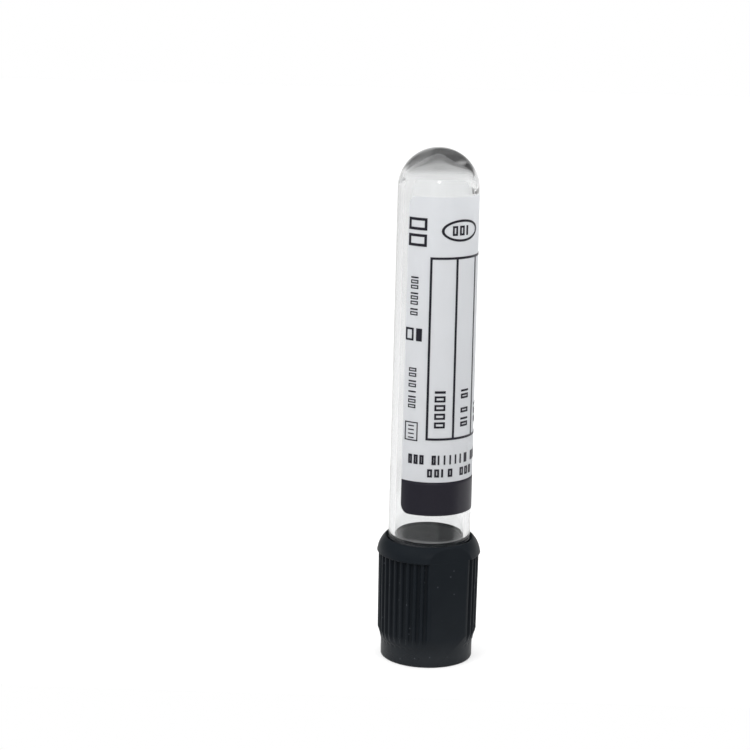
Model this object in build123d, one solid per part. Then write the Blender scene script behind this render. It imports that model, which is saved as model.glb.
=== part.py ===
from build123d import *
import os
from math import acos, asin, cos, degrees, radians, sin

# A vacuum blood collection tube that stands upside down on its cap. Millimetres.
# The origin is the centre of the cap's end face, and +Z runs up the tube's axis to its round end.
# Angles round the axis are in degrees from the front, -Y, and grow towards +X.

# Tube: one clear moulding with draft, so it is widest at its mouth
TUBE_LENGTH = 75.0
MOUTH_Z = 6.75                 # the tube's mouth, inside the cap
MOUTH_R = 6.55
SHOULDER_R = 6.29              # where the round end begins
WALL_AT_MOUTH = 1.00
WALL_AT_END = 0.95
RIM_ROUND = 0.35
TIP_Z = MOUTH_Z + TUBE_LENGTH
SHOULDER_Z = TIP_Z - SHOULDER_R
CORE_END_Z = 77.0              # where the inside leaves its straight wall for a low, pointed dome
CORE_SIDE_PULL = 0.5           # how far the dome's curve keeps to the wall, in parts of its height
CORE_TIP_PULL = 0.42           # and to the level of its tip, in parts of its radius

# Cap: one black moulding
CAP_LENGTH = 19.8
END_R = 7.30                   # plain end
END_ROUND = 0.25
END_WALL = 1.1
NEEDLE_HOLE_R = 3.7
HOLE_CHAMFER = 0.15
BORE_R = 6.80                  # runs clear of the tube
BEAD_R = 6.45                  # snap bead that holds the stopper's head
BEAD_Z = 3.9
BEAD_HEIGHT = 0.7
COLLAR_Z = 17.3                # underside of the collar
COLLAR_R = 8.24
RIM_R = 7.05                   # top of the collar's rounded rim
RIB_COUNT = 42
RIB_PHASE = 2.1                # angle of the first rib
RIB_END_Z = 2.5                # where the rib tips run out into the plain end
RIB_RUN_OUT = ((7.38, 3.0), (7.54, 3.5))   # radius and height of the tips in between
RIB_FULL_Z = 4.65
VALLEY_END_Z = 2.9             # where the floor between the ribs meets the plain end
VALLEY_R = 7.48
VALLEY_FULL_Z = 3.2
RIB_LOW_R = 7.88               # rib tips at RIB_FULL_Z
RIB_TOP_R = 7.98               # rib tips under the collar
RIB_BASE = 0.34                # half widths of a rib, in parts of the pitch
RIB_TIP = 0.18
FLAT_ANGLES = (28.0, 208.0)    # two finger flats, opposite each other
FLAT_DISTANCE = 7.28
GATE_ANGLE = 160.0             # moulding gate mark on the end face
GATE_AT_R = 5.6
GATE_R = 0.65

# Stopper: one rubber plug
HEAD_R = 6.75
HEAD_TOP_Z = MOUTH_Z - 0.05
PLUG_TOP_Z = 19.7
PLUG_CLEARANCE = 0.05
WAIST_DEPTH = 0.25             # between the sealing rings
RING_HEIGHT = 1.6
RING_CENTRES = (9.6, 14.2, 18.7)
DISH_R = 4.3                   # dished inner end
DISH_DEPTH = 0.6
DIMPLE_R = 0.45
DIMPLE_DEPTH = 0.4
SEPTUM_R = 3.3                 # dished outer face, under the needle hole
SEPTUM_DEPTH = 0.75

# Additive that lies on the stopper
SOLUTION_TOP_Z = 20.45         # where it wets the tube's wall
MENISCUS_DEPTH = 0.35          # its level at the centre below that
SOLUTION_CLEARANCE = 0.06

# Label and its print
LABEL_LIFT = 0.015
LABEL_THICK = 0.06
INK_THICK = 0.05
LABEL_LOW_Z = 24.8
LABEL_HIGH_Z = 74.9
LABEL_LEFT = -44.0
LABEL_RIGHT = 231.0
LABEL_CORNER = 1.5
BAND_HIGH_Z = 30.2
TABLE_LOW_Z = 36.95
TABLE_HIGH_Z = 65.7
TABLE_LEFT = -7.0
TABLE_PITCH = 37.0             # degrees from one table column to the next
TABLE_COLUMNS = 4
RULE_WIDTH = 0.36
OVAL_ANGLE = 36.5
OVAL_Z = 69.75
OVAL_WIDTH = 6.5
OVAL_HEIGHT = 3.4
SMALL_STROKE = 0.17            # line of a small open mark, and of a large one
LARGE_STROKE = 0.3
BOX_SHARE = 0.7                # part of its pitch that an open mark fills, and a bar
BAR_SHARE = 0.28


def outer_r(z):
    """Outside radius of the tube's straight part at height z."""
    return MOUTH_R + (SHOULDER_R - MOUTH_R) * (z - MOUTH_Z) / (SHOULDER_Z - MOUTH_Z)


def inner_r(z):
    """Inside radius of the tube's straight part at height z."""
    share = (z - MOUTH_Z) / (SHOULDER_Z - MOUTH_Z)
    return outer_r(z) - WALL_AT_MOUTH + (WALL_AT_MOUTH - WALL_AT_END) * share


def turned(*lines):
    """Solid turned about the axis from a closed outline of (radius, height) lines."""
    outline = Curve() + list(lines)
    return revolve(Plane.XZ * make_face(outline.edges()), Axis.Z)


def face_on_axis(angle, z, distance=0):
    """Plane whose normal points out from the axis at the angle, with its own y along +Z."""
    turn = radians(angle - 90)
    out = Vector(cos(turn), sin(turn), 0)
    along = Vector(-sin(turn), cos(turn), 0)
    return Plane(origin=out * distance + Vector(0, 0, z), x_dir=along, z_dir=out)


def wrapped(low, high, left, right, lift, thick):
    """Patch wrapped on the tube between two heights and two angles, lifted off its wall."""
    inside = [(outer_r(low) + lift, low), (outer_r(high) + lift, high)]
    outside = [(outer_r(high) + lift + thick, high), (outer_r(low) + lift + thick, low)]
    profile = Plane.XZ * make_face(Polyline(*inside, *outside, close=True).edges())
    return Rot(0, 0, left - 90) * revolve(profile, Axis.Z, revolution_arc=right - left)


def ink(low, high, left, right):
    """Patch of ink on the label."""
    return wrapped(low, high, left, right, LABEL_LIFT + LABEL_THICK, INK_THICK)


def window(low, high, left, right):
    """Cutter that opens a patch of ink."""
    return wrapped(low, high, left, right, LABEL_LIFT + LABEL_THICK - INK_THICK, 3 * INK_THICK)


def degrees_of(width, z=50.0):
    """Angle that a width takes up on the label at height z."""
    return degrees(width / (outer_r(z) + LABEL_LIFT + LABEL_THICK))


def make_tube():
    core_r = inner_r(CORE_END_Z)
    core_tip_z = TIP_Z - WALL_AT_END
    side_z = CORE_END_Z + CORE_SIDE_PULL * (core_tip_z - CORE_END_Z)
    half = sin(radians(45))
    tube = turned(
        Line((MOUTH_R, MOUTH_Z), (SHOULDER_R, SHOULDER_Z)),
        ThreePointArc((SHOULDER_R, SHOULDER_Z), (SHOULDER_R * half, SHOULDER_Z + SHOULDER_R * half),
                      (0, TIP_Z)),
        Line((0, TIP_Z), (0, core_tip_z)),
        Bezier((0, core_tip_z), (CORE_TIP_PULL * core_r, core_tip_z), (core_r, side_z), (core_r, CORE_END_Z)),
        Line((core_r, CORE_END_Z), (inner_r(MOUTH_Z), MOUTH_Z)),
        Line((inner_r(MOUTH_Z), MOUTH_Z), (MOUTH_R, MOUTH_Z)))
    rim = tube.edges().filter_by_position(Axis.Z, MOUTH_Z - 0.01, MOUTH_Z + 0.01)
    return fillet(rim, RIM_ROUND)


def bowl(radius, z, depth):
    """Arc of a sphere centred on the axis, from its edge circle at height z to the axis."""
    ball = (radius ** 2 + depth ** 2) / (2 * depth)
    half = asin(radius / ball) / 2
    middle = (ball * sin(half), z + depth - ball * (1 - cos(half)))
    return ThreePointArc((radius, z), middle, (0, z + depth))


def dish():
    """Hollow in the stopper's inner end, with the dimple at its centre."""
    bottom = PLUG_TOP_Z - DISH_DEPTH
    lens = turned(bowl(DISH_R, PLUG_TOP_Z, -DISH_DEPTH),
                  Polyline((0, bottom), (0, PLUG_TOP_Z), (DISH_R, PLUG_TOP_Z)))
    dimple_height = DIMPLE_DEPTH + DISH_DEPTH / 2
    return lens + Pos(0, 0, bottom - DIMPLE_DEPTH + dimple_height / 2) * Cylinder(DIMPLE_R, dimple_height)


def make_stopper():
    def plug_r(z):
        return inner_r(z) - PLUG_CLEARANCE

    side = [(plug_r(HEAD_TOP_Z) - WAIST_DEPTH, HEAD_TOP_Z)]
    for z in RING_CENTRES:
        low, high = z - RING_HEIGHT / 2, z + RING_HEIGHT / 2
        side += [(plug_r(high) - WAIST_DEPTH, low), (plug_r(high), low + WAIST_DEPTH),
                 (plug_r(high), high - WAIST_DEPTH), (plug_r(high) - WAIST_DEPTH, high)]
    rim_end = (side[-1][0] - 0.2, PLUG_TOP_Z)
    groove = [(HEAD_R, BEAD_Z + BEAD_HEIGHT / 2 + 0.05), (BEAD_R - 0.05, BEAD_Z + 0.15),
              (BEAD_R - 0.05, BEAD_Z - 0.15), (HEAD_R, BEAD_Z - BEAD_HEIGHT / 2 - 0.05)]
    plug = turned(Polyline((0, PLUG_TOP_Z), rim_end, *reversed(side), (HEAD_R, HEAD_TOP_Z), *groove,
                           (HEAD_R, END_WALL), (0, END_WALL), close=True))
    septum = turned(bowl(SEPTUM_R, END_WALL, SEPTUM_DEPTH),
                    Polyline((0, END_WALL + SEPTUM_DEPTH), (0, END_WALL), (SEPTUM_R, END_WALL)))
    return plug - dish() - septum


def make_solution():
    low_r = inner_r(PLUG_TOP_Z) - SOLUTION_CLEARANCE
    high_r = inner_r(SOLUTION_TOP_Z) - SOLUTION_CLEARANCE
    pool = turned(Polyline((0, SOLUTION_TOP_Z - MENISCUS_DEPTH), (0, PLUG_TOP_Z), (low_r, PLUG_TOP_Z),
                           (high_r, SOLUTION_TOP_Z)),
                  bowl(high_r, SOLUTION_TOP_Z, -MENISCUS_DEPTH))
    return pool + dish()


def cap_core():
    """Barrel without its ribs, with the rounded end edge and the collar, still solid."""
    slant = END_ROUND * (1 - sin(radians(45)))
    return turned(
        Line((0, 0), (END_R - END_ROUND, 0)),
        ThreePointArc((END_R - END_ROUND, 0), (END_R - slant, slant), (END_R, END_ROUND)),
        Polyline((END_R, END_ROUND), (END_R, VALLEY_END_Z), (VALLEY_R, VALLEY_FULL_Z),
                 (VALLEY_R, COLLAR_Z), (COLLAR_R - 0.04, COLLAR_Z), (COLLAR_R, COLLAR_Z + 0.06),
                 (COLLAR_R - 0.06, COLLAR_Z + 0.25)),
        ThreePointArc((COLLAR_R - 0.06, COLLAR_Z + 0.25), (COLLAR_R - 0.45, COLLAR_Z + 1.5),
                      (RIM_R, CAP_LENGTH)),
        Polyline((RIM_R, CAP_LENGTH), (0, CAP_LENGTH), (0, 0)))


def cap_ribs():
    """Ribs and the lands under the finger flats, run out into the plain end."""
    pitch = 360 / RIB_COUNT
    inside = END_R - 0.1
    outside = RIB_TOP_R + 0.1
    points = []
    for i in range(RIB_COUNT):
        centre = RIB_PHASE + i * pitch
        for r, offset in ((inside, -RIB_BASE), (outside, -RIB_TIP), (outside, RIB_TIP), (inside, RIB_BASE)):
            turn = radians(centre + offset * pitch - 90)
            points.append((r * cos(turn), r * sin(turn)))
    blank = Pos(0, 0, RIB_END_Z) * extrude(make_face(Polyline(*points, close=True).edges()),
                                           COLLAR_Z - RIB_END_Z)
    land = degrees(acos(FLAT_DISTANCE / RIB_TOP_R)) + 1.5
    for angle in FLAT_ANGLES:
        reach = outside / cos(radians(land))
        corners = [(reach * cos(radians(angle + side - 90)), reach * sin(radians(angle + side - 90)))
                   for side in (-land, land)]
        wedge = make_face(Polyline((0, 0), *corners, close=True).edges())
        blank += Pos(0, 0, RIB_END_Z) * extrude(wedge, COLLAR_Z - RIB_END_Z)
    envelope = turned(Polyline((0, RIB_END_Z), (END_R - 0.01, RIB_END_Z), *RIB_RUN_OUT,
                               (RIB_LOW_R, RIB_FULL_Z), (RIB_TOP_R, COLLAR_Z), (0, COLLAR_Z), close=True))
    return blank & envelope


def cap_cavity():
    """Space inside the cap, with the snap bead and the flared mouth."""
    low, high = BEAD_Z - BEAD_HEIGHT / 2, BEAD_Z + BEAD_HEIGHT / 2
    return turned(Polyline((0, END_WALL), (BORE_R, END_WALL), (BORE_R, low), (BEAD_R, BEAD_Z - 0.1),
                           (BEAD_R, BEAD_Z + 0.1), (BORE_R, high), (BORE_R, CAP_LENGTH - 0.35),
                           (BORE_R + 0.25, CAP_LENGTH + 0.1), (0, CAP_LENGTH + 0.1), close=True))


def make_cap():
    cap = cap_core() + cap_ribs()
    flat_height = CAP_LENGTH - RIB_END_Z + 1
    for angle in FLAT_ANGLES:
        plane = face_on_axis(angle, RIB_END_Z + flat_height / 2, FLAT_DISTANCE)
        cap -= extrude(plane * Rectangle(9, flat_height), 3)
    cap -= cap_cavity()
    hole_top = END_WALL + 0.5
    cap -= turned(Polyline((0, -0.1), (NEEDLE_HOLE_R + HOLE_CHAMFER + 0.1, -0.1),
                           (NEEDLE_HOLE_R, HOLE_CHAMFER), (NEEDLE_HOLE_R, hole_top),
                           (0, hole_top), close=True))
    turn = radians(GATE_ANGLE - 90)
    gate = Pos(GATE_AT_R * cos(turn), GATE_AT_R * sin(turn), 0)
    cap -= gate * (Cylinder(GATE_R, 0.4) - Pos(0, 0, 0.1) * Cylinder(GATE_R * 0.5, 0.3))
    return cap


def corner_cutter(angle, z, side_u, side_v):
    """Square with a quarter circle taken away, to round one corner of the label."""
    inset = degrees_of(LABEL_CORNER, z)
    plane = face_on_axis(angle - side_u * inset, z - side_v * LABEL_CORNER, 4)
    square = Pos(side_u * LABEL_CORNER, side_v * LABEL_CORNER) * Rectangle(2 * LABEL_CORNER, 2 * LABEL_CORNER)
    return extrude(plane * (square - Circle(LABEL_CORNER)), 5)


def make_label():
    label = wrapped(LABEL_LOW_Z, LABEL_HIGH_Z, LABEL_LEFT, LABEL_RIGHT, LABEL_LIFT, LABEL_THICK)
    for angle, side_u in ((LABEL_LEFT, -1), (LABEL_RIGHT, 1)):
        for z, side_v in ((LABEL_LOW_Z, -1), (LABEL_HIGH_Z, 1)):
            label -= corner_cutter(angle, z, side_u, side_v)
    return label


def make_band():
    """Black band over the label's lower end, with the label's own corners."""
    band = ink(LABEL_LOW_Z, BAND_HIGH_Z, LABEL_LEFT, LABEL_RIGHT)
    for angle, side_u in ((LABEL_LEFT, -1), (LABEL_RIGHT, 1)):
        band -= corner_cutter(angle, LABEL_LOW_Z, side_u, -1)
    return band


def make_table():
    """Ruled table for writing on."""
    right = TABLE_LEFT + TABLE_COLUMNS * TABLE_PITCH
    half = degrees_of(RULE_WIDTH) / 2
    table = ink(TABLE_LOW_Z, TABLE_HIGH_Z, TABLE_LEFT - half, right + half)
    for i in range(TABLE_COLUMNS):
        left = TABLE_LEFT + i * TABLE_PITCH
        table -= window(TABLE_LOW_Z + RULE_WIDTH, TABLE_HIGH_Z - RULE_WIDTH,
                        left + half, left + TABLE_PITCH - half)
    return table


def make_oval():
    """Oval ring that frames the volume mark."""
    plane = face_on_axis(OVAL_ANGLE, OVAL_Z, 3)
    outline = Ellipse(OVAL_WIDTH / 2, OVAL_HEIGHT / 2)
    opening = Ellipse(OVAL_WIDTH / 2 - RULE_WIDTH, OVAL_HEIGHT / 2 - RULE_WIDTH)
    ring = extrude(plane * (outline - opening), 5)
    span = degrees_of(OVAL_WIDTH, OVAL_Z) / 2 + 8
    return ring & ink(OVAL_Z - OVAL_HEIGHT, OVAL_Z + OVAL_HEIGHT, OVAL_ANGLE - span, OVAL_ANGLE + span)


def mark(kind, low, high, left, right, stroke):
    """Plain bar, or an open box if the kind is o."""
    shape = ink(low, high, left, right)
    if kind == "o":
        turn = degrees_of(stroke)
        shape -= window(low + stroke, high - stroke, left + turn, right - turn)
    return shape


def spaced(pattern, start, end):
    """Kind, start and end of each mark in a row: o is an open box, i a bar, a blank leaves a gap."""
    pitch = (end - start) / len(pattern)
    share = {"o": BOX_SHARE, "i": BAR_SHARE}
    return [(kind, start + i * pitch, start + (i + share[kind]) * pitch)
            for i, kind in enumerate(pattern) if kind != " "]


def row_up(pattern, angle, low, high, width, stroke):
    """Row of plain marks that runs up the label, in place of a line of small print."""
    half = degrees_of(width) / 2
    return [mark(kind, start, end, angle - half, angle + half, stroke)
            for kind, start, end in spaced(pattern, low, high)]


def row_round(pattern, z, left, right, height, stroke):
    """Row of plain marks that runs round the label."""
    return [mark(kind, z - height / 2, z + height / 2, start, end, stroke)
            for kind, start, end in spaced(pattern, left, right)]


def make_marks():
    """Plain bars and open boxes where the label carries its small print."""
    marks = row_up("oiooiooi", -30.5, 56.5, 63.1, 1.3, SMALL_STROKE)
    marks += row_up("ooiioioo", -30.0, 41.9, 48.5, 1.3, SMALL_STROKE)
    marks += row_up("ooooi", 10.0, 38.9, 45.8, 1.7, LARGE_STROKE)
    marks += row_up("oio oi", 49.0, 38.9, 45.6, 1.6, LARGE_STROKE)
    marks += row_up("ooi", 86.0, 38.9, 43.0, 1.7, LARGE_STROKE)
    marks += row_up("oooi", 123.0, 38.9, 44.2, 1.7, LARGE_STROKE)
    marks += row_round("ooi", OVAL_Z, OVAL_ANGLE - 15, OVAL_ANGLE + 18, 1.5, LARGE_STROKE)
    for z in (70.7, 68.2):
        marks.append(mark("o", z - 0.95, z + 0.95, -42.0, -14.0, 0.42))
    marks.append(mark("o", 52.5, 54.5, -43.0, -30.0, LARGE_STROKE))
    marks.append(mark("i", 52.5, 54.5, -26.0, -17.5, LARGE_STROKE))
    marks.append(mark("o", 36.7, 39.7, -40.0, -20.0, SMALL_STROKE))
    marks += row_up("iiii", -30.0, 37.1, 39.6, 1.0, SMALL_STROKE)
    marks += row_round("ooo oiiiiio oiiooo", 33.8, -33.0, 118.0, 1.5, LARGE_STROKE)
    marks += row_round("ooio ooo", 31.7, -5.0, 72.0, 1.3, LARGE_STROKE)
    return Compound(children=marks)


SHAPES = {
    "tube": make_tube,
    "stopper": make_stopper,
    "cap": make_cap,
    "solution": make_solution,
    "label": make_label,
    "label_band": make_band,
    "label_table": make_table,
    "label_oval": make_oval,
    "label_marks": make_marks,
}

os.makedirs("parts", exist_ok=True)
for name, make in SHAPES.items():
    export_step(make(), "parts/" + name + ".step")
    print("wrote", name)
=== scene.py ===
from math import acos, cos, pi, radians, sin

import bpy
import numpy as np
from mathutils import Matrix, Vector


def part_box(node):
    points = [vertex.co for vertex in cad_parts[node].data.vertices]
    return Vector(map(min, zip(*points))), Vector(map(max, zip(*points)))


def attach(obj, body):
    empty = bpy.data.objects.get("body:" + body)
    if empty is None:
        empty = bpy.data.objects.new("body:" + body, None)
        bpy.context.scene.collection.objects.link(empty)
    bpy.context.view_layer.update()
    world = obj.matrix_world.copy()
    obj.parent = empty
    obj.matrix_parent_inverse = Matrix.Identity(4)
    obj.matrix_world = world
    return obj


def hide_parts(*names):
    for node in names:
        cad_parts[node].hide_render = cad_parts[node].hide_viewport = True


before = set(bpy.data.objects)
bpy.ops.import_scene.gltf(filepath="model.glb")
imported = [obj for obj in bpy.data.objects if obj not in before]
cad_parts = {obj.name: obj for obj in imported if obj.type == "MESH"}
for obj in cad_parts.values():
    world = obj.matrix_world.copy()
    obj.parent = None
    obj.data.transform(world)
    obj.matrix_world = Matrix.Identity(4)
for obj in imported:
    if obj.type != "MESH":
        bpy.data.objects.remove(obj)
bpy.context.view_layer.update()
MM = 0.001

# ---------------------------------------------------------------- tube
# The tube is one injection moulding in clear PET with a little draft, so it is widest at its open
# mouth, which is down inside the cap. The round end is a hemisphere whose wall the moulding core
# leaves slightly uneven.

TUBE_LOW, TUBE_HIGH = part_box("tube")
MOUTH_Z, TIP_Z = TUBE_LOW.z, TUBE_HIGH.z
MOUTH_R = 6.55 * MM
SHOULDER_R = 6.29 * MM
WALL_AT_MOUTH = 1.00 * MM
WALL_AT_END = 0.95 * MM
RIM_ROUND = 0.35 * MM
SHOULDER_Z = TIP_Z - SHOULDER_R
CORE_END_Z = 77.0 * MM         # where the inside leaves its straight wall for a low, pointed dome
CORE_SIDE_PULL = 0.5           # the dome's two Bezier pulls, as shares of its height and radius
CORE_TIP_PULL = 0.42
CORE_LEAN = (0.02, 0.03)       # added to x and y for each unit of height in the dome
DENTS = ((67.0, 2.6 * MM, 80.0 * MM, 1.8 * MM, 0.08 * MM),    # angle, r and z, radius, depth
         (78.0, 5.33 * MM, 75.6 * MM, 0.7 * MM, 0.15 * MM))
DENTS_END_Z = 73.0 * MM        # the inside has closer rings above this height
TUBE_SEGMENTS = 320
LABEL_LOW, LABEL_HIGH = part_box("label")
LABEL_MIDDLE = radians(93.5)   # angle from the front towards +X
LABEL_HALF = radians(137.5)
LABEL_CORNER = 1.5 * MM
UNROLL_R = 6.4 * MM            # about the tube's outside radius half way up the label
MID_WALL_R = SHOULDER_R - 0.3 * MM    # within the wall, to tell its outside from its inside


def outer_r(z):
    """Outside radius of the tube's straight part: a straight line from the mouth to the shoulder."""
    return MOUTH_R + (SHOULDER_R - MOUTH_R) * (z - MOUTH_Z) / (SHOULDER_Z - MOUTH_Z)


def inner_r(z):
    """Inside radius of the tube's straight part: the outside less a wall that thins evenly."""
    share = (z - MOUTH_Z) / (SHOULDER_Z - MOUTH_Z)
    return outer_r(z) - WALL_AT_MOUTH + (WALL_AT_MOUTH - WALL_AT_END) * share


def arc(centre_r, centre_z, radius, start, end, count):
    """Points (r, z) on an arc in the radial plane: centre + radius (cos a, sin a), a in degrees."""
    a = np.radians(np.linspace(start, end, count))
    return np.stack([centre_r + radius * np.cos(a), centre_z + radius * np.sin(a)], axis=1)


def line(start, end, count):
    """Points evenly spaced on a straight line, without its last point."""
    t = np.linspace(0, 1, count, endpoint=False)[:, None]
    return np.asarray(start) * (1 - t) + np.asarray(end) * t


def add_mesh(name, points, faces, material, body):
    """Makes a smooth mesh object from points and faces and lets it ride on a CAD body."""
    mesh = bpy.data.meshes.new(name)
    mesh.from_pydata(points.tolist(), [], faces)
    mesh.polygons.foreach_set("use_smooth", np.ones(len(mesh.polygons), bool))
    mesh.validate()
    mesh.update()
    piece = bpy.data.objects.new(name, mesh)
    bpy.context.scene.collection.objects.link(piece)
    piece.data.materials.append(material)
    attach(piece, body)
    return piece


def turned(profile, segments):
    """Surface of revolution P(i, k) = (r_i cos a_k, r_i sin a_k, z_i) with a_k = 2 pi k / segments.
    The profile runs from pole to pole, counter-clockwise in (r, z), so that faces point outwards;
    its first and last points lie on the axis and close it with fans."""
    profile = np.asarray(profile)
    a = np.arange(segments) * 2 * pi / segments
    rings = profile[1:-1]
    x = rings[:, 0, None] * np.cos(a)
    y = rings[:, 0, None] * np.sin(a)
    z = np.repeat(rings[:, 1, None], segments, axis=1)
    poles = [[0, 0, profile[0, 1]], [0, 0, profile[-1, 1]]]
    points = np.vstack([np.stack([x, y, z], axis=2).reshape(-1, 3), poles])
    k = np.arange(segments)
    k_next = (k + 1) % segments
    row = np.arange(len(rings) - 1)[:, None] * segments
    quads = np.stack([row + k, row + k_next, row + segments + k_next, row + segments + k], axis=2)
    first, last = len(points) - 2, len(points) - 1
    top = (len(rings) - 1) * segments
    fans = ([[first, b, c] for b, c in zip(k_next.tolist(), k.tolist())]
            + [[last, top + b, top + c] for b, c in zip(k.tolist(), k_next.tolist())])
    return points, quads.reshape(-1, 4).tolist() + fans


def smooth(low, high, value):
    """Smooth step from 0 at low to 1 at high."""
    t = np.clip((value - low) / (high - low), 0, 1)
    return t * t * (3 - 2 * t)


def bezier(start, start_pull, end_pull, end, count):
    """Points on the cubic curve (1-t)^3 A + 3 (1-t)^2 t B + 3 (1-t) t^2 C + t^3 D."""
    t = np.linspace(0, 1, count)[:, None]
    a, b, c, d = (np.array(point) for point in (start, start_pull, end_pull, end))
    return (1 - t) ** 3 * a + 3 * (1 - t) ** 2 * t * b + 3 * (1 - t) * t ** 2 * c + t ** 3 * d


def tube_surface():
    """Turned outline: inside, the low pointed dome that the core leaves and the drafted wall down
    to the mouth; then the rim, the drafted outside and a hemisphere. The core stands a little
    askew, so above its straight wall x and y grow by CORE_LEAN (z - end of the wall). At each dent
    the inside is drawn towards a point low on the axis by depth exp(-(distance / radius)^2)."""
    core_r, tip_z = inner_r(CORE_END_Z), TIP_Z - WALL_AT_END
    side_z = CORE_END_Z + CORE_SIDE_PULL * (tip_z - CORE_END_Z)
    inside = np.vstack([
        bezier((0, tip_z), (CORE_TIP_PULL * core_r, tip_z), (core_r, side_z), (core_r, CORE_END_Z), 90),
        line((core_r, CORE_END_Z), (inner_r(DENTS_END_Z), DENTS_END_Z), 20)[1:],
        line((inner_r(DENTS_END_Z), DENTS_END_Z), (inner_r(MOUTH_Z), MOUTH_Z + RIM_ROUND), 16),
        arc(inner_r(MOUTH_Z) + RIM_ROUND, MOUTH_Z + RIM_ROUND, RIM_ROUND, 180, 270, 8)])
    outside = np.vstack([
        arc(MOUTH_R - RIM_ROUND, MOUTH_Z + RIM_ROUND, RIM_ROUND, 270, 360, 8),
        line((MOUTH_R, MOUTH_Z + RIM_ROUND), (SHOULDER_R, SHOULDER_Z), 24)[1:],
        arc(0, SHOULDER_Z, SHOULDER_R, 0, 90, 80)])
    points, faces = turned(np.vstack([inside, outside]), TUBE_SEGMENTS)
    core = np.append(np.arange((len(inside) - 1) * TUBE_SEGMENTS), len(points) - 2)
    height = np.clip(points[core, 2] - CORE_END_Z, 0, None)
    points[core, :2] += height[:, None] * CORE_LEAN
    for angle, r, z, radius, depth in DENTS:
        place = np.array([r * sin(radians(angle)), -r * cos(radians(angle)), z])
        inward = np.array([0, 0, CORE_END_Z - core_r]) - place
        away = np.linalg.norm(points[core] - place, axis=1) / radius
        points[core] += depth * np.exp(-away ** 2)[:, None] * inward / np.linalg.norm(inward)
    return points, faces


def principled(name, **sockets):
    """New material with one Principled BSDF whose named sockets are set; returns it and its tree."""
    material = bpy.data.materials.new(name)
    material.use_nodes = True
    shader = material.node_tree.nodes["Principled BSDF"]
    for socket, value in sockets.items():
        shader.inputs[socket.replace("_", " ")].default_value = value
    return material, material.node_tree, shader


def mix_shaders(tree, share, where_0, where_1):
    """Mix Shader node of two shaders by a share from 0 to 1, which is a number or an output."""
    node = tree.nodes.new("ShaderNodeMixShader")
    if isinstance(share, float):
        node.inputs["Fac"].default_value = share
    else:
        tree.links.new(share, node.inputs["Fac"])
    tree.links.new(where_0, node.inputs[1])
    tree.links.new(where_1, node.inputs[2])
    return node.outputs["Shader"]


def let_light_through(tree, shader, glued=None):
    """Lamps shine through the clear piece: shadow rays meet a Transparent BSDF in its place. So
    does every ray where the glued mask is 1."""
    path = tree.nodes.new("ShaderNodeLightPath")
    clear = tree.nodes.new("ShaderNodeBsdfTransparent")
    clear.inputs["Color"].default_value = (0.95, 0.955, 0.96, 1)
    unbent = path.outputs["Is Shadow Ray"]
    if glued:
        unbent = maths(tree, "MAXIMUM", unbent, glued)
    mix = mix_shaders(tree, unbent, shader.outputs["BSDF"], clear.outputs["BSDF"])
    tree.links.new(mix, tree.nodes["Material Output"].inputs["Surface"])


def noise_height(tree, scale, stretch=(1, 1, 1), detail=2.0):
    """Noise texture node on Object coordinates, which are first scaled by stretch along each axis."""
    place = tree.nodes.new("ShaderNodeTexCoord")
    mapping = tree.nodes.new("ShaderNodeMapping")
    noise = tree.nodes.new("ShaderNodeTexNoise")
    mapping.inputs["Scale"].default_value = stretch
    noise.inputs["Scale"].default_value = scale
    noise.inputs["Detail"].default_value = detail
    tree.links.new(place.outputs["Object"], mapping.inputs["Vector"])
    tree.links.new(mapping.outputs["Vector"], noise.inputs["Vector"])
    return noise


def bump(tree, height, shader, distance, strength=1.0):
    """Bump node from a height output to the shader's Normal."""
    node = tree.nodes.new("ShaderNodeBump")
    node.inputs["Strength"].default_value = strength
    node.inputs["Distance"].default_value = distance
    tree.links.new(height, node.inputs["Height"])
    tree.links.new(node.outputs["Normal"], shader.inputs["Normal"])


def spread(tree, value, low, high, start=0.0, end=1.0):
    """Map Range node that turns a value from start to end into one from low to high."""
    node = tree.nodes.new("ShaderNodeMapRange")
    for socket, number in (("From Min", start), ("From Max", end), ("To Min", low), ("To Max", high)):
        node.inputs[socket].default_value = number
    tree.links.new(value, node.inputs["Value"])
    return node.outputs["Result"]


def vector_maths(tree, operation, vector, other=None):
    """Vector Math node of an operation on a vector, with a second output or a constant vector if
    the operation takes two."""
    node = tree.nodes.new("ShaderNodeVectorMath")
    node.operation = operation
    tree.links.new(vector, node.inputs[0])
    if isinstance(other, tuple):
        node.inputs[1].default_value = other
    elif other is not None:
        tree.links.new(other, node.inputs[1])
    return node


def maths(tree, operation, a, b, clamp=False):
    """Math node of an operation on an output and either a second output or a number; clamp keeps
    the result from 0 to 1."""
    node = tree.nodes.new("ShaderNodeMath")
    node.operation = operation
    node.use_clamp = clamp
    tree.links.new(a, node.inputs[0])
    if isinstance(b, float):
        node.inputs[1].default_value = b
    else:
        tree.links.new(b, node.inputs[1])
    return node.outputs[0]


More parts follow.
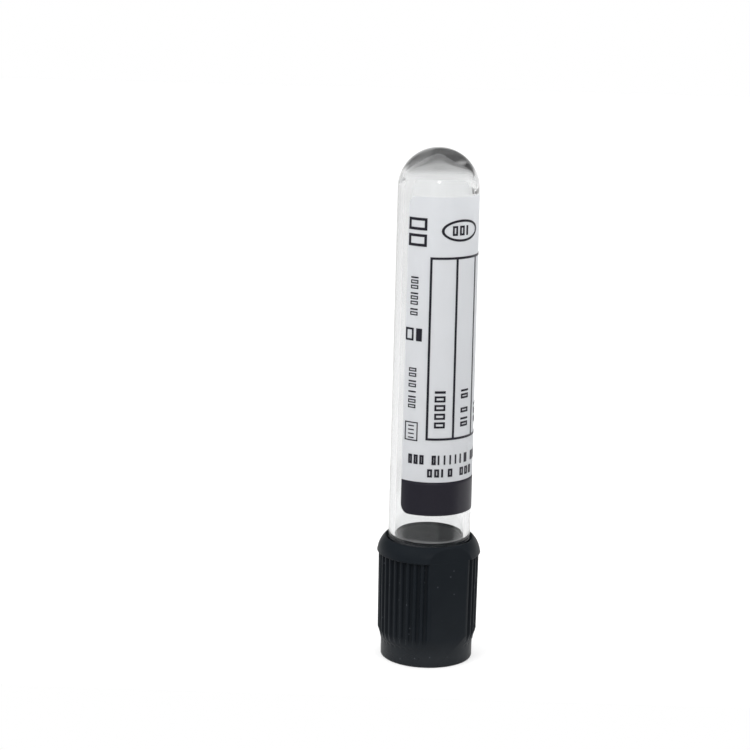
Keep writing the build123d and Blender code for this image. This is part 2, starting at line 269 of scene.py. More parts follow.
def under_label(tree):
    """1 where the label's glue wets the tube's outside, so that no air turns light back, else 0.
    The place is unrolled to (R angle, z) from the label's middle and tested against its rounded
    outline: |max(|place| - half size + corner, 0)| < corner. The inside of the wall is left out."""
    place = tree.nodes.new("ShaderNodeTexCoord")
    turn = tree.nodes.new("ShaderNodeMapping")
    turn.inputs["Rotation"].default_value = (0, 0, pi / 2 - LABEL_MIDDLE)
    turn.inputs["Location"].default_value = (0, 0, -(LABEL_LOW.z + LABEL_HIGH.z) / 2)
    split = tree.nodes.new("ShaderNodeSeparateXYZ")
    unrolled = tree.nodes.new("ShaderNodeCombineXYZ")
    tree.links.new(place.outputs["Object"], turn.inputs["Vector"])
    tree.links.new(turn.outputs["Vector"], split.inputs["Vector"])
    angle = maths(tree, "ARCTAN2", split.outputs["Y"], split.outputs["X"])
    tree.links.new(maths(tree, "MULTIPLY", angle, UNROLL_R), unrolled.inputs["X"])
    tree.links.new(split.outputs["Z"], unrolled.inputs["Y"])
    straight = (UNROLL_R * LABEL_HALF - LABEL_CORNER,
                (LABEL_HIGH.z - LABEL_LOW.z) / 2 - LABEL_CORNER, 0)
    beyond = vector_maths(tree, "ABSOLUTE", unrolled.outputs["Vector"])
    beyond = vector_maths(tree, "SUBTRACT", beyond.outputs["Vector"], straight)
    beyond = vector_maths(tree, "MAXIMUM", beyond.outputs["Vector"], (0, 0, 0))
    beyond = vector_maths(tree, "LENGTH", beyond.outputs["Vector"])
    covered = maths(tree, "LESS_THAN", beyond.outputs["Value"], LABEL_CORNER)
    flat = vector_maths(tree, "MULTIPLY", place.outputs["Object"], (1, 1, 0))
    radius = vector_maths(tree, "LENGTH", flat.outputs["Vector"])
    outside = maths(tree, "GREATER_THAN", radius.outputs["Value"], MID_WALL_R)
    return maths(tree, "MULTIPLY", covered, outside)


clear_pet, tree, shader = principled("clear moulded PET", Base_Color=(0.985, 0.99, 0.992, 1),
                                     IOR=1.57, Transmission_Weight=1.0)
flow = noise_height(tree, 160, (1, 1, 0.25))
bump(tree, flow.outputs["Fac"], shader, 0.01 * MM, 0.06)
tree.links.new(spread(tree, flow.outputs["Fac"], 0.0, 0.02), shader.inputs["Roughness"])
let_light_through(tree, shader, under_label(tree))

tube = add_mesh("moulded_tube", *tube_surface(), clear_pet, "tube")
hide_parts("tube")

# ------------------------------------------------------------- stopper
# The stopper is one plug of black bromobutyl rubber. Its head fills the cap, three sealing rings
# press on the tube's wall, and its inner end is dished with a small dimple at the centre.

STOPPER_LOW, STOPPER_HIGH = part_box("stopper")
HEAD_R = 6.75 * MM
HEAD_TOP_Z = MOUTH_Z - 0.05 * MM
HEAD_EDGE = 0.2 * MM
GROOVE_R = 6.42 * MM           # the groove that the cap's snap bead sits in
GROOVE_Z = 3.9 * MM
GROOVE_HALVES = (0.4 * MM, 0.15 * MM)    # its half height at the mouth and at the floor
PLUG_TOP_Z = STOPPER_HIGH.z
PLUG_CLEARANCE = 0.05 * MM
PLUG_EDGE = 0.2 * MM
WAIST_DEPTH = 0.25 * MM
RING_HEIGHT = 1.6 * MM
RING_CENTRES = (9.6 * MM, 14.2 * MM, 18.7 * MM)
DISH_R = 4.3 * MM
DISH_DEPTH = 0.6 * MM
DIMPLE_R = 0.45 * MM
DIMPLE_DEPTH = 0.4 * MM
LIP_WIDTH = 0.12 * MM          # rounded lip between the dish and the flat rim
SEPTUM_R = 3.3 * MM
SEPTUM_DEPTH = 0.75 * MM
ROUND_SEGMENTS = 192


def bowl(radius, z, depth, count):
    """Points (r, z) from the axis to the edge of a spherical bowl whose bottom is depth below z, or
    above z where depth is negative: z - depth + b - sign(depth) sqrt(b^2 - r^2), with
    b = (R^2 + depth^2) / (2 depth)."""
    ball = (radius ** 2 + depth ** 2) / (2 * depth)
    r = np.linspace(0, radius, count)
    return np.stack([r, z - depth + ball - np.sign(depth) * np.sqrt(ball ** 2 - r ** 2)], axis=1)


def dished_end(rim_r):
    """Inner end of the stopper from the axis out: dimple, spherical bowl, rounded lip, flat rim."""
    bowl_line = bowl(DISH_R, PLUG_TOP_Z, DISH_DEPTH, 24)
    dimple = bowl(DIMPLE_R, bowl_line[3, 1], DIMPLE_DEPTH, 7)
    outside = bowl_line[bowl_line[:, 0] > DIMPLE_R * 1.25]
    lip_r = DISH_R + LIP_WIDTH
    lip = [(lip_r, PLUG_TOP_Z - 0.005 * MM), (lip_r + 0.1 * MM, PLUG_TOP_Z)]
    rim = [(rim_r - 0.15 * MM, PLUG_TOP_Z), (rim_r, PLUG_TOP_Z - 0.04 * MM)]
    return np.vstack([dimple, outside, lip, rim])


def stopper_profile():
    """Counter-clockwise outline: septum bowl, head with the snap groove, rings, dished end. A ring
    swells from the waist by WAIST_DEPTH (1 - |t|^3), t from -1 at its foot to 1 at its top."""
    def plug_r(z):
        return inner_r(z) - PLUG_CLEARANCE

    septum = bowl(SEPTUM_R, STOPPER_LOW.z, -SEPTUM_DEPTH, 16)
    mouth, floor = GROOVE_HALVES
    side = [(HEAD_R - HEAD_EDGE, STOPPER_LOW.z), (HEAD_R, STOPPER_LOW.z + HEAD_EDGE),
            (HEAD_R, GROOVE_Z - mouth), (GROOVE_R, GROOVE_Z - floor),
            (GROOVE_R, GROOVE_Z + floor), (HEAD_R, GROOVE_Z + mouth),
            (HEAD_R, HEAD_TOP_Z - HEAD_EDGE), (HEAD_R - HEAD_EDGE, HEAD_TOP_Z),
            (plug_r(HEAD_TOP_Z) - WAIST_DEPTH, HEAD_TOP_Z)]
    for z in RING_CENTRES:
        low, high = z - RING_HEIGHT / 2, z + RING_HEIGHT / 2
        across = np.linspace(-1, 1, 9)
        swell = WAIST_DEPTH * (1 - np.abs(across) ** 3)
        heights = low + (across + 1) / 2 * (high - low)
        side += [(plug_r(h) - WAIST_DEPTH + s, h) for h, s in zip(heights, swell)]
    return np.vstack([septum, side, dished_end(side[-1][0] - PLUG_EDGE)[::-1]])


def mix_colours(tree, share, where_0, where_1):
    """Mix node of two colours by a share from 0 to 1; each is a constant colour or an output."""
    node = tree.nodes.new("ShaderNodeMix")
    node.data_type = "RGBA"
    tree.links.new(share, node.inputs["Factor"])
    for socket, colour in (("A", where_0), ("B", where_1)):
        if isinstance(colour, tuple):
            node.inputs[socket].default_value = colour
        else:
            tree.links.new(colour, node.inputs[socket])
    return node.outputs["Result"]


rubber, tree, shader = principled("black bromobutyl rubber", IOR=1.5, Specular_IOR_Level=0.2)
bloom = noise_height(tree, 500)
tint = mix_colours(tree, bloom.outputs["Fac"], (0.0055, 0.0066, 0.0080, 1), (0.0075, 0.0088, 0.0104, 1))
tree.links.new(tint, shader.inputs["Base Color"])
tree.links.new(spread(tree, bloom.outputs["Fac"], 0.32, 0.5), shader.inputs["Roughness"])

stopper = add_mesh("rubber_stopper", *turned(stopper_profile(), ROUND_SEGMENTS), rubber, "closure")
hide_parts("stopper")

# ------------------------------------------------------------ solution
# A few drops of clear citrate solution lie on the stopper when the tube stands on its cap. They
# wet the tube's wall, so the surface is hollow and climbs all round the edge.

SOLUTION_TOP_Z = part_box("solution")[1].z
WETTING = 0.03 * MM            # how far it is sunk in wall and rubber, so no air shows between
POOL_Z = 20.03 * MM
POOL_RISE = 0.27 * MM          # tilt of the surface: its rise from the middle to the far wall
POOL_INSET = 0.5 * MM          # from the wall to where the underside turns down past the rubber
GAP_WIDTH = 0.45 * MM          # of liquid between wall and rubber, down to the last ring's top
CREEP = 0.34 * MM
CREEP_ANGLE = radians(200)     # from +X towards +Y, where the climb reaches furthest in
CREEP_LENGTH = (0.45 * MM, 2.2 * MM)    # how far it reaches in: across from there, and there


def solution_surface():
    """Turned outline: just under the dished end, down between rubber and wall, up the wall and
    back to the axis. On top z = middle + rise y / R + creep exp((r - R) / length), where the
    length grows towards the left, and no point stands above the liquid's highest line."""
    low_z = RING_CENTRES[-1] + RING_HEIGHT * 0.45
    wall_r = inner_r(SOLUTION_TOP_Z) + WETTING
    r = np.linspace(wall_r, 0, 64)
    top = np.stack([r, np.full_like(r, POOL_Z)], axis=1)
    bottom = dished_end(inner_r(PLUG_TOP_Z) - POOL_INSET) - np.array([0, WETTING])
    gap = [(inner_r(low_z) - GAP_WIDTH, low_z), (inner_r(low_z) + WETTING, low_z)]
    points, faces = turned(np.vstack([bottom, gap, top]), ROUND_SEGMENTS)
    first_row = len(bottom) + len(gap) - 1
    ring = np.arange(first_row * ROUND_SEGMENTS, (first_row + len(top) - 1) * ROUND_SEGMENTS)
    ring = np.append(ring, len(points) - 1)
    x, y = points[ring, 0], points[ring, 1]
    towards = 0.5 + 0.5 * np.cos(np.arctan2(y, x) - CREEP_ANGLE)
    length = CREEP_LENGTH[0] + (CREEP_LENGTH[1] - CREEP_LENGTH[0]) * towards ** 2
    creep = CREEP * np.exp((np.hypot(x, y) - wall_r) / length)
    points[ring, 2] = np.minimum(POOL_Z + POOL_RISE * y / wall_r + creep, SOLUTION_TOP_Z)
    return points, faces


liquid, tree, shader = principled("clear citrate solution", Base_Color=(0.995, 0.998, 1, 1),
                                  IOR=1.335, Transmission_Weight=1.0, Roughness=0.0)
let_light_through(tree, shader)

solution = add_mesh("solution_pool", *solution_surface(), liquid, "closure")
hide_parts("solution")

# ----------------------------------------------------------------- cap
# The cap is a thin black shield, moulded in one piece over the stopper. Fine ribs run down its
# barrel between two finger flats, they fade into a plain end, and a rounded collar guards its
# mouth. A needle hole in the end face shows the stopper.

CAP_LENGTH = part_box("cap")[1].z
END_R = 7.30 * MM
END_ROUND = 0.25 * MM
END_WALL = 1.1 * MM
NEEDLE_HOLE_R = 3.7 * MM
HOLE_CHAMFER = 0.15 * MM
BORE_R = 6.80 * MM
BEAD_R = 6.45 * MM             # the snap bead, in the stopper's groove
BEAD_HALVES = (0.35 * MM, 0.1 * MM)      # its half height at the bore and at its crest
COLLAR_Z = 17.3 * MM
COLLAR_R = 8.235 * MM
RIM_R = 7.05 * MM
RIB_COUNT = 42
RIB_PHASE = 2.1
RIB_END_Z = 2.5 * MM
RIB_FULL_Z = 4.65 * MM
VALLEY_END_Z = 2.9 * MM        # where the floor between the ribs meets the plain end
VALLEY_FULL_Z = 3.2 * MM
VALLEY_R = 7.48 * MM
RIB_LOW_R = 7.88 * MM
RIB_TOP_R = 7.98 * MM
RIB_FLANK = (-0.55, 0.85)      # the part of the cosine wave over which a rib's flank rises
FLAT_ANGLES = (28.0, 208.0)
FLAT_DISTANCE = 7.28 * MM
FLAT_FADE = radians(1.5)       # the ribs end this far beyond a flat's edge and fade over as much
FLAT_EDGE = 0.05 * MM
GATE_ANGLE = 160.0
GATE_AT_R = 5.6 * MM
GATE_R = 0.65 * MM
GATE_DEPTH = 0.2 * MM
GATE_BAND = 0.8 * MM           # the end face has close rings this far to each side of the gate
STEPS_PER_RIB = 16


def soft_least(a, b, width):
    """The lesser of a and b, with the corner between them rounded over a width."""
    h = np.clip(0.5 + 0.5 * (b - a) / width, 0, 1)
    return b * (1 - h) + a * h - width * h * (1 - h)


def arc_through(start, middle, end, count):
    """Points (r, z) on the circle through three points. As complex numbers a, b and c they give
    w = (c - a) / (b - a), and the centre is a + (b - a) (w - |w|^2) / (2 i Im w)."""
    a, b, c = (complex(*point) for point in (start, middle, end))
    w = (c - a) / (b - a)
    centre = a + (b - a) * (w - abs(w) ** 2) / (2j * w.imag)
    first, last = np.degrees(np.angle(np.array([a, c]) - centre))
    return arc(centre.real, centre.imag, abs(a - centre), first, last, count)


def rib_height(angle):
    """Height of the ribs round the barrel, 0 in the valleys to 1 on the tips: a cosine with
    RIB_COUNT waves, pushed through a smooth step to give it steep flanks and round tips. Under
    a finger flat it is 1 all over."""
    wave = np.cos((angle - radians(RIB_PHASE)) * RIB_COUNT)
    height = smooth(*RIB_FLANK, wave)
    half_width = acos(FLAT_DISTANCE / RIB_TOP_R) + FLAT_FADE
    for flat in FLAT_ANGLES:
        off = np.abs(np.angle(np.exp(1j * (angle - radians(flat)))))
        height = np.maximum(height, smooth(half_width + FLAT_FADE, half_width, off))
    return height


def cut_by_flats(radius, angle, z):
    """Least of the barrel's radius and the reach to each flat, FLAT_DISTANCE / cos(off), where off
    is the angle from the flat's middle. It counts above the plain end and within 60 degrees."""
    for flat in FLAT_ANGLES:
        off = np.angle(np.exp(1j * (angle - radians(flat))))
        facing = np.cos(off) > 0.5
        reach = np.where(facing, FLAT_DISTANCE / np.where(facing, np.cos(off), 1), 1.0)
        radius = np.where(facing & (z > RIB_END_Z), soft_least(radius, reach, FLAT_EDGE), radius)
    return radius


def cap_surface():
    """Closed surface P(i, k): the profile runs from the needle hole's inner edge over the end
    face, up the ribbed side, over the collar and back down the bore. On the side the radius is
    valley + (envelope - valley) * rib height, then cut by the flats. The envelope leaves the
    plain end by 0.6 t + 0.4 t^2, with t from 0 to 1 over the height where the ribs fade in. The
    end face is sunk in a ring round the place where the plastic came in, by smooth steps of the
    distance from it."""
    segments = RIB_COUNT * STEPS_PER_RIB
    angle = np.arange(segments) * 2 * pi / segments
    ribs = rib_height(angle)
    side_z = np.concatenate([
        np.linspace(END_ROUND, RIB_END_Z, 5)[1:], np.linspace(RIB_END_Z, RIB_FULL_Z + 0.3 * MM, 20)[1:],
        np.linspace(RIB_FULL_Z + 0.3 * MM, COLLAR_Z - 0.25 * MM, 16)[1:], [COLLAR_Z - 0.1 * MM, COLLAR_Z]])
    rise = np.clip((side_z - RIB_END_Z) / (RIB_FULL_Z - RIB_END_Z), 0, 1)
    tip_r = END_R + (RIB_LOW_R - END_R) * (0.6 * rise + 0.4 * rise ** 2)
    tip_r += (RIB_TOP_R - RIB_LOW_R) * np.clip((side_z - RIB_FULL_Z) / (COLLAR_Z - RIB_FULL_Z), 0, 1)
    floor_r = END_R + (VALLEY_R - END_R) * smooth(VALLEY_END_Z, VALLEY_FULL_Z, side_z)
    side_r = floor_r[:, None] + (tip_r - floor_r)[:, None] * ribs

    gate_rings = np.linspace(GATE_AT_R - GATE_BAND, GATE_AT_R + GATE_BAND, 24)
    face = np.array([(NEEDLE_HOLE_R, END_WALL), (NEEDLE_HOLE_R, HOLE_CHAMFER + 0.05 * MM),
                     (NEEDLE_HOLE_R + 0.03 * MM, HOLE_CHAMFER * 0.4),
                     (NEEDLE_HOLE_R + HOLE_CHAMFER, 0), (NEEDLE_HOLE_R + 0.5 * MM, 0)]
                    + [(r, 0) for r in gate_rings] + [(END_R - END_ROUND - 0.1 * MM, 0)])
    end_edge = arc(END_R - END_ROUND, END_ROUND, END_ROUND, 270, 360, 9)
    collar = np.vstack([
        [(COLLAR_R - 0.04 * MM, COLLAR_Z), (COLLAR_R - 0.01 * MM, COLLAR_Z + 0.03 * MM),
         (COLLAR_R, COLLAR_Z + 0.08 * MM)],
        arc_through((COLLAR_R - 0.06 * MM, COLLAR_Z + 0.25 * MM),
                    (COLLAR_R - 0.45 * MM, COLLAR_Z + 1.5 * MM), (RIM_R, CAP_LENGTH), 22)])
    foot, crest = BEAD_HALVES
    bore = np.array([(BORE_R + 0.16 * MM, CAP_LENGTH - 0.02 * MM),
                     (BORE_R + 0.05 * MM, CAP_LENGTH - 0.12 * MM),
                     (BORE_R, CAP_LENGTH - 0.35 * MM), (BORE_R, 10 * MM),
                     (BORE_R, GROOVE_Z + foot), (BEAD_R, GROOVE_Z + crest),
                     (BEAD_R, GROOVE_Z - crest), (BORE_R, GROOVE_Z - foot), (BORE_R, END_WALL)])

    def all_round(values):
        return np.repeat(values[:, None], segments, axis=1)

    r = np.vstack([all_round(face[:, 0]), all_round(end_edge[:, 0]), side_r,
                   all_round(collar[:, 0]), all_round(bore[:, 0])])
    z = all_round(np.concatenate([face[:, 1], end_edge[:, 1], side_z, collar[:, 1], bore[:, 1]]))
    outer_rows = slice(len(face) + len(end_edge), len(r) - len(bore))
    r[outer_rows] = cut_by_flats(r[outer_rows], angle, z[outer_rows])
    turn = angle - pi / 2
    gate = radians(GATE_ANGLE) - pi / 2
    away = np.hypot(r * np.cos(turn) - GATE_AT_R * cos(gate),
                    r * np.sin(turn) - GATE_AT_R * sin(gate)) / GATE_R
    recess = GATE_DEPTH * (smooth(1.0, 0.85, away) - smooth(0.5, 0.4, away))
    z[:len(face)] += np.where(z[:len(face)] == 0, recess[:len(face)], 0)
    points = np.stack([r * np.cos(turn), r * np.sin(turn), z], axis=2).reshape(-1, 3)
    rows, k = len(r), np.arange(segments)
    k_next = (k + 1) % segments
    low = np.arange(rows)[:, None] * segments
    high = (np.arange(rows)[:, None] + 1) % rows * segments
    quads = np.stack([low + k, low + k_next, high + k_next, high + k], axis=2)
    return points, quads.reshape(-1, 4).tolist()


black_plastic, tree, shader = principled("black moulded polyethylene", IOR=1.51)
grain = noise_height(tree, 2600, detail=3.0)
cloud = noise_height(tree, 260, detail=3.0)
tint = mix_colours(tree, cloud.outputs["Fac"], (0.0062, 0.0082, 0.0105, 1), (0.0090, 0.0115, 0.0145, 1))
place = cloud.inputs["Vector"].links[0].from_socket
specks = tree.nodes.new("ShaderNodeTexVoronoi")
specks.inputs["Scale"].default_value = 700
tree.links.new(place, specks.inputs["Vector"])
dust = spread(tree, specks.outputs["Distance"], 0.7, 0.0, 0.05, 0.10)
tree.links.new(mix_colours(tree, dust, tint, (0.055, 0.060, 0.070, 1)), shader.inputs["Base Color"])
height = tree.nodes.new("ShaderNodeSeparateXYZ")
tree.links.new(place, height.inputs["Vector"])
ribbed = spread(tree, height.outputs["Z"], 0.0, 0.08, 1.5 * MM, 4.5 * MM)
rough = maths(tree, "ADD", spread(tree, cloud.outputs["Fac"], 0.22, 0.34), ribbed)
tree.links.new(rough, shader.inputs["Roughness"])
shine = maths(tree, "MULTIPLY", ribbed, -2.5)
tree.links.new(maths(tree, "ADD", shine, 0.33), shader.inputs["Specular IOR Level"])
bump(tree, grain.outputs["Fac"], shader, 0.012 * MM, 0.5)

cap = add_mesh("ribbed_cap", *cap_surface(), black_plastic, "closure")
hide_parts("cap")

# --------------------------------------------------------------- label
# The label is a white self-adhesive film with rounded corners, wrapped three quarters of the way
# round the tube, so a clear window is left on one side.

LABEL_LIFT = 0.015 * MM
LABEL_THICK = 0.06 * MM
LABEL_LEFT, LABEL_RIGHT = LABEL_MIDDLE - LABEL_HALF, LABEL_MIDDLE + LABEL_HALF
LABEL_COLUMNS = 240
FILM_TRANSLUCENCY = 0.62


def wrapped(angle, z, low_lift, high_lift):
    """Closed plate wrapped on the tube: P = ((R + lift) sin a, -(R + lift) cos a, z), where R is
    the tube's radius at z. angle and z are grids of the plate's outline, left to right by column
    and upwards by row; the outer and inner faces are joined round their border."""
    def face(lift):
        r = outer_r(z) + lift
        return np.stack([r * np.sin(angle), -r * np.cos(angle), z], axis=2).reshape(-1, 3)

    rows, columns = angle.shape
    points = np.vstack([face(high_lift), face(low_lift)])
    i = np.arange(rows - 1)[:, None] * columns + np.arange(columns - 1)
    quads = np.stack([i, i + 1, i + columns + 1, i + columns], axis=2).reshape(-1, 4)
    grid = np.arange(rows * columns).reshape(rows, columns)
    border = np.concatenate([grid[0, :-1], grid[:-1, -1], grid[-1, :0:-1], grid[:0:-1, 0]])
    border_next = np.roll(border, -1)
    size = rows * columns
    edge = np.stack([border, border + size, border_next + size, border_next], axis=1)
    return points, np.vstack([quads, quads[:, ::-1] + size, edge]).tolist()


def rounded_grid(low, high, left, right, low_corner, high_corner):
    """Grid over a sheet from angle left to right (radians) and z low to high, with quarter circles
    for corners at the low end and, if it has any, at the high one: at a distance d from an end
    whose corners have the radius c, the row's ends draw in by c - sqrt(c^2 - (c - d)^2)."""
    def near(corner):
        return corner * (1 - np.cos(np.linspace(0, pi / 2, 9)))

    if high_corner:
        rest = np.concatenate([np.linspace(low + low_corner, high - high_corner, 40)[1:-1],
                               high - near(high_corner)[::-1]])
    else:
        rest = np.linspace(low + low_corner, high, 8)[1:]
    heights = np.concatenate([low + near(low_corner), rest])
    inset = np.zeros_like(heights)
    for corner, distance in ((low_corner, heights - low), (high_corner, high - heights)):
        short = np.clip(corner - distance, 0, corner)
        inset = np.maximum(inset, corner - np.sqrt(np.clip(corner ** 2 - short ** 2, 0, None)))
    inset = inset / outer_r(heights)
    t = np.linspace(0, 1, LABEL_COLUMNS)
    angle = (left + inset)[:, None] * (1 - t) + (right - inset)[:, None] * t
    return angle, np.repeat(heights[:, None], LABEL_COLUMNS, axis=1)


film, tree, shader = principled("white label film", IOR=1.47, Specular_IOR_Level=0.4)
fibre = noise_height(tree, 1400, (1, 1, 0.6), detail=5.0)
shade = noise_height(tree, 90)
tint = mix_colours(tree, shade.outputs["Fac"], (0.640, 0.652, 0.672, 1), (0.672, 0.682, 0.700, 1))
side = tree.nodes.new("ShaderNodeTexCoord")
outwards = vector_maths(tree, "MULTIPLY", side.outputs["Object"], (1, 1, 0))
facing = vector_maths(tree, "DOT_PRODUCT", side.outputs["Normal"], outwards.outputs["Vector"])
glue_side = maths(tree, "LESS_THAN", facing.outputs["Value"], 0.0)
# The glue side, which faces the tube, is painted paler than the outer face. This is painted light: it
# stands in for the light from behind that shines through the tube onto the label's inside.
painted_backlight_colour = mix_colours(tree, glue_side, tint, (0.975, 0.970, 0.955, 1))
tree.links.new(painted_backlight_colour, shader.inputs["Base Color"])
tree.links.new(spread(tree, fibre.outputs["Fac"], 0.38, 0.56), shader.inputs["Roughness"])
bump(tree, fibre.outputs["Fac"], shader, 0.01 * MM, 0.35)

through = tree.nodes.new("ShaderNodeBsdfTranslucent")
# Light passing through is painted dimmer on the outer face than on the glue side. This is painted shade:
# it darkens the label's front while its inside stays bright.
painted_shade_through_colour = mix_colours(tree, glue_side, (0.890, 0.898, 0.912, 1), (0.975, 0.970, 0.965, 1))
tree.links.new(painted_shade_through_colour, through.inputs["Color"])
blend = mix_shaders(tree, FILM_TRANSLUCENCY, shader.outputs["BSDF"], through.outputs["BSDF"])
tree.links.new(blend, tree.nodes["Material Output"].inputs["Surface"])

label = add_mesh("label_sheet", *wrapped(*rounded_grid(
    LABEL_LOW.z, LABEL_HIGH.z, LABEL_LEFT, LABEL_RIGHT, LABEL_CORNER, LABEL_CORNER),
    LABEL_LIFT, LABEL_LIFT + LABEL_THICK), film, "tube")
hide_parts("label")

# --------------------------------------------------------------- print
# The label is printed in one black ink: a solid band at the cap's end, a ruled table, and small
# marks. The band is drawn here as a finer sheet; the other ink fields keep their CAD form.

BAND_HIGH_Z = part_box("label_band")[1].z
BAND_THICK = 0.03 * MM

ink, tree, shader = principled("black label ink", IOR=1.5, Specular_IOR_Level=0.4)
speckle = noise_height(tree, 3200, detail=3.0)
tint = mix_colours(tree, speckle.outputs["Fac"], (0.0115, 0.0105, 0.0155, 1), (0.0160, 0.0150, 0.0215, 1))
tree.links.new(tint, shader.inputs["Base Color"])
tree.links.new(spread(tree, speckle.outputs["Fac"], 0.26, 0.36), shader.inputs["Roughness"])

ink_low = LABEL_LIFT + LABEL_THICK
band = add_mesh("ink_band", *wrapped(*rounded_grid(
    LABEL_LOW.z, BAND_HIGH_Z, LABEL_LEFT, LABEL_RIGHT, LABEL_CORNER, 0),
    ink_low, ink_low + BAND_THICK), ink, "tube")
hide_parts("label_band")

for name in ("label_table", "label_oval", "label_marks"):
    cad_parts[name].data.materials.clear()
    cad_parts[name].data.materials.append(ink)

# ------------------------------------------------- table, light, camera
# The tube stands near the front edge of a white table top, whose right edge is near too. The
# camera sees white all round. Clear parts see the table and a grey wall behind it that darkens
# upwards and is lit on the left; shiny parts see a studio that is pale behind and dark in front.

TABLE_LEFT, TABLE_RIGHT = -0.90, 0.22
TABLE_FRONT, TABLE_BACK = -0.02, 0.90
TABLE_GLOW = 0.35              # added for the camera only, so that the table top comes out white


def seen_directly(tree):
    """1 until a ray from the camera first meets a matt surface, and 0 after that. Mirrored rays
    and rays through clear pieces count as direct. The other outputs are 1 for camera rays only,
    and for mirrored rays only: a ray that has just left a clear piece is a glossy and a
    transmitted one, so the second mark is taken off the first."""
    path = tree.nodes.new("ShaderNodeLightPath")
    from_camera, from_gloss, from_clear = (
        path.outputs[kind] for kind in ("Is Camera Ray", "Is Glossy Ray", "Is Transmission Ray"))
    unbroken = maths(tree, "MAXIMUM", maths(tree, "MAXIMUM", from_camera, from_gloss), from_clear)
    directly = maths(tree, "SUBTRACT", unbroken, path.outputs["Diffuse Depth"], clamp=True)
    return directly, from_camera, maths(tree, "SUBTRACT", from_gloss, from_clear, clamp=True)


table_white, tree, shader = principled("white table", Roughness=0.6, Specular_IOR_Level=0.2)
directly, from_camera, from_gloss = seen_directly(tree)
# Where shiny parts mirror it, the table is painted darker than where it is seen or lit directly: painted
# shade in its reflections.
table_colour_with_painted_mirror_shade = mix_colours(tree, from_gloss, (0.50, 0.50, 0.50, 1), (0.36, 0.36, 0.36, 1))
tree.links.new(table_colour_with_painted_mirror_shade, shader.inputs["Base Color"])
glow = tree.nodes.new("ShaderNodeEmission")
tree.links.new(maths(tree, "MULTIPLY", from_camera, TABLE_GLOW), glow.inputs["Strength"])
both = tree.nodes.new("ShaderNodeAddShader")
tree.links.new(shader.outputs["BSDF"], both.inputs[0])
tree.links.new(glow.outputs["Emission"], both.inputs[1])
seen = mix_shaders(tree, directly, shader.outputs["BSDF"], both.outputs["Shader"])
tree.links.new(seen, tree.nodes["Material Output"].inputs["Surface"])

table_mesh = bpy.data.meshes.new("table_top")
table_mesh.from_pydata([(TABLE_LEFT, TABLE_FRONT, 0), (TABLE_RIGHT, TABLE_FRONT, 0),
                        (TABLE_RIGHT, TABLE_BACK, 0), (TABLE_LEFT, TABLE_BACK, 0)], [], [[0, 1, 2, 3]])
table_top = bpy.data.objects.new("table_top", table_mesh)
bpy.context.scene.collection.objects.link(table_top)
table_mesh.materials.append(table_white)

world = bpy.data.worlds.new("studio")
bpy.context.scene.world = world
world.use_nodes = True
tree = world.node_tree
tree.nodes.clear()
out = tree.nodes.new("ShaderNodeOutputWorld")
place = tree.nodes.new("ShaderNodeTexCoord")
split = tree.nodes.new("ShaderNodeSeparateXYZ")
tree.links.new(place.outputs["Generated"], split.inputs["Vector"])


def fade(value, start, end, low, high):
    """Smooth Map Range node of the studio: low up to start, high from end on."""
    result = spread(tree, value, low, high, start, end)
    result.node.interpolation_type = "SMOOTHSTEP"
    return result


def product(a, b):
    """a times b in the studio's tree."""
    return maths(tree, "MULTIPLY", a, b)


def background(level):
    """Background shader of a grey level, which is a number or an output."""
    node = tree.nodes.new("ShaderNodeBackground")
    if isinstance(level, float):
        node.inputs["Color"].default_value = (level, level, level, 1)
    else:
        tree.links.new(level, node.inputs["Color"])
    return node.outputs["Background"]


x, y, z = (split.outputs[axis] for axis in "XYZ")
# Through clear parts: a grey wall, darker upwards and to the right, and a light on the left.
wall = product(fade(z, -0.1, 0.2, 0.75, 0.48), fade(z, 0.20, 0.31, 1.0, 0.20))
wall = product(wall, fade(x, 0.35, 0.60, 1.0, 0.35))
left_light = product(fade(x, 0.0, -0.35, 0.0, 0.9), fade(z, 0.2, 0.5, 1.0, 0.4))
brightest = maths(tree, "MAXIMUM", wall, left_light)
# In shiny parts: pale behind, dark in front and above, dimmer on the left.
mirrored = product(fade(y, -0.6, 0.8, 0.08, 0.75), fade(z, -0.1, 0.45, 1.0, 0.10))
mirrored = product(mirrored, fade(x, -0.2, -0.7, 1.0, 0.5))
# On matt parts: light from all round, twice as strong from behind as from the front.
soft = fade(y, -0.3, 0.7, 1.0, 2.0)

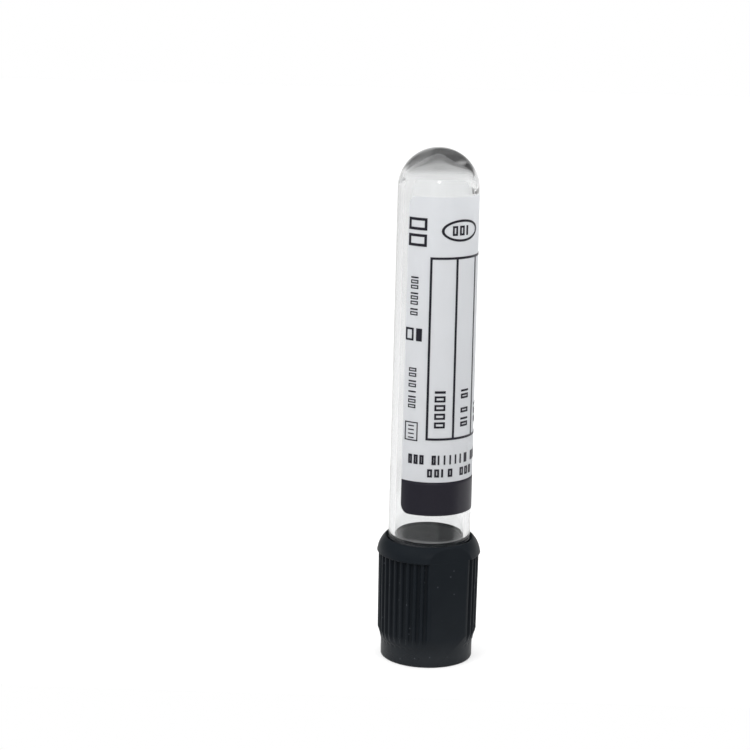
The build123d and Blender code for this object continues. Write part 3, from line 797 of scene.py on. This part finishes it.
directly, from_camera, from_gloss = seen_directly(tree)
studio = mix_shaders(tree, from_gloss, background(brightest), background(mirrored))
lit = mix_shaders(tree, directly, background(soft), studio)
tree.links.new(mix_shaders(tree, from_camera, lit, background(1.0)), out.inputs["Surface"])


def softbox(name, azimuth, elevation, distance, width, height, power, mirrored=False):
    """Area lamp that faces the middle of the tube from an azimuth (degrees from the front,
    towards +X), an elevation and a distance. Shiny pieces only show it if it is mirrored."""
    lamp = bpy.data.lights.new(name, "AREA")
    lamp.shape = "RECTANGLE"
    lamp.size, lamp.size_y, lamp.energy = width, height, power
    holder = bpy.data.objects.new(name, lamp)
    bpy.context.scene.collection.objects.link(holder)
    turn, rise = radians(azimuth), radians(elevation)
    holder.location = (distance * sin(turn) * cos(rise), -distance * cos(turn) * cos(rise),
                       distance * sin(rise) + TIP_Z / 2)
    holder.rotation_euler = (pi / 2 - rise, 0, turn)
    holder.visible_glossy = mirrored
    holder.visible_transmission = False


softbox("left_softbox", -50, 40, 1.1, 0.7, 0.7, 8.2)
softbox("right_softbox", 45, 40, 1.1, 0.7, 0.7, 5.4)
softbox("front_lamp", 2, 26, 0.8, 0.10, 0.07, 0.30, True)

CAMERA_DISTANCE = 0.3547
CAMERA_HEIGHT = 0.1262
CAMERA_TURN, CAMERA_DIP, CAMERA_ROLL = radians(1.481), radians(12.791), radians(1.256)
FOCAL_LENGTH = 111.3
camera_data = bpy.data.cameras.new("camera")
camera_data.lens = FOCAL_LENGTH
camera_data.sensor_width = 36
camera_data.clip_start = 0.01
camera = bpy.data.objects.new("camera", camera_data)
bpy.context.scene.collection.objects.link(camera)
camera.matrix_world = (Matrix.Translation((0, -CAMERA_DISTANCE, CAMERA_HEIGHT))
                       @ Matrix.Rotation(CAMERA_TURN, 4, "Z")
                       @ Matrix.Rotation(pi / 2 - CAMERA_DIP, 4, "X")
                       @ Matrix.Rotation(CAMERA_ROLL, 4, "Z"))
bpy.context.scene.camera = camera
bpy.context.scene.cycles.glossy_bounces = 9      # light is turned back many times in the clear wall
bpy.context.scene.view_settings.view_transform = "Standard"
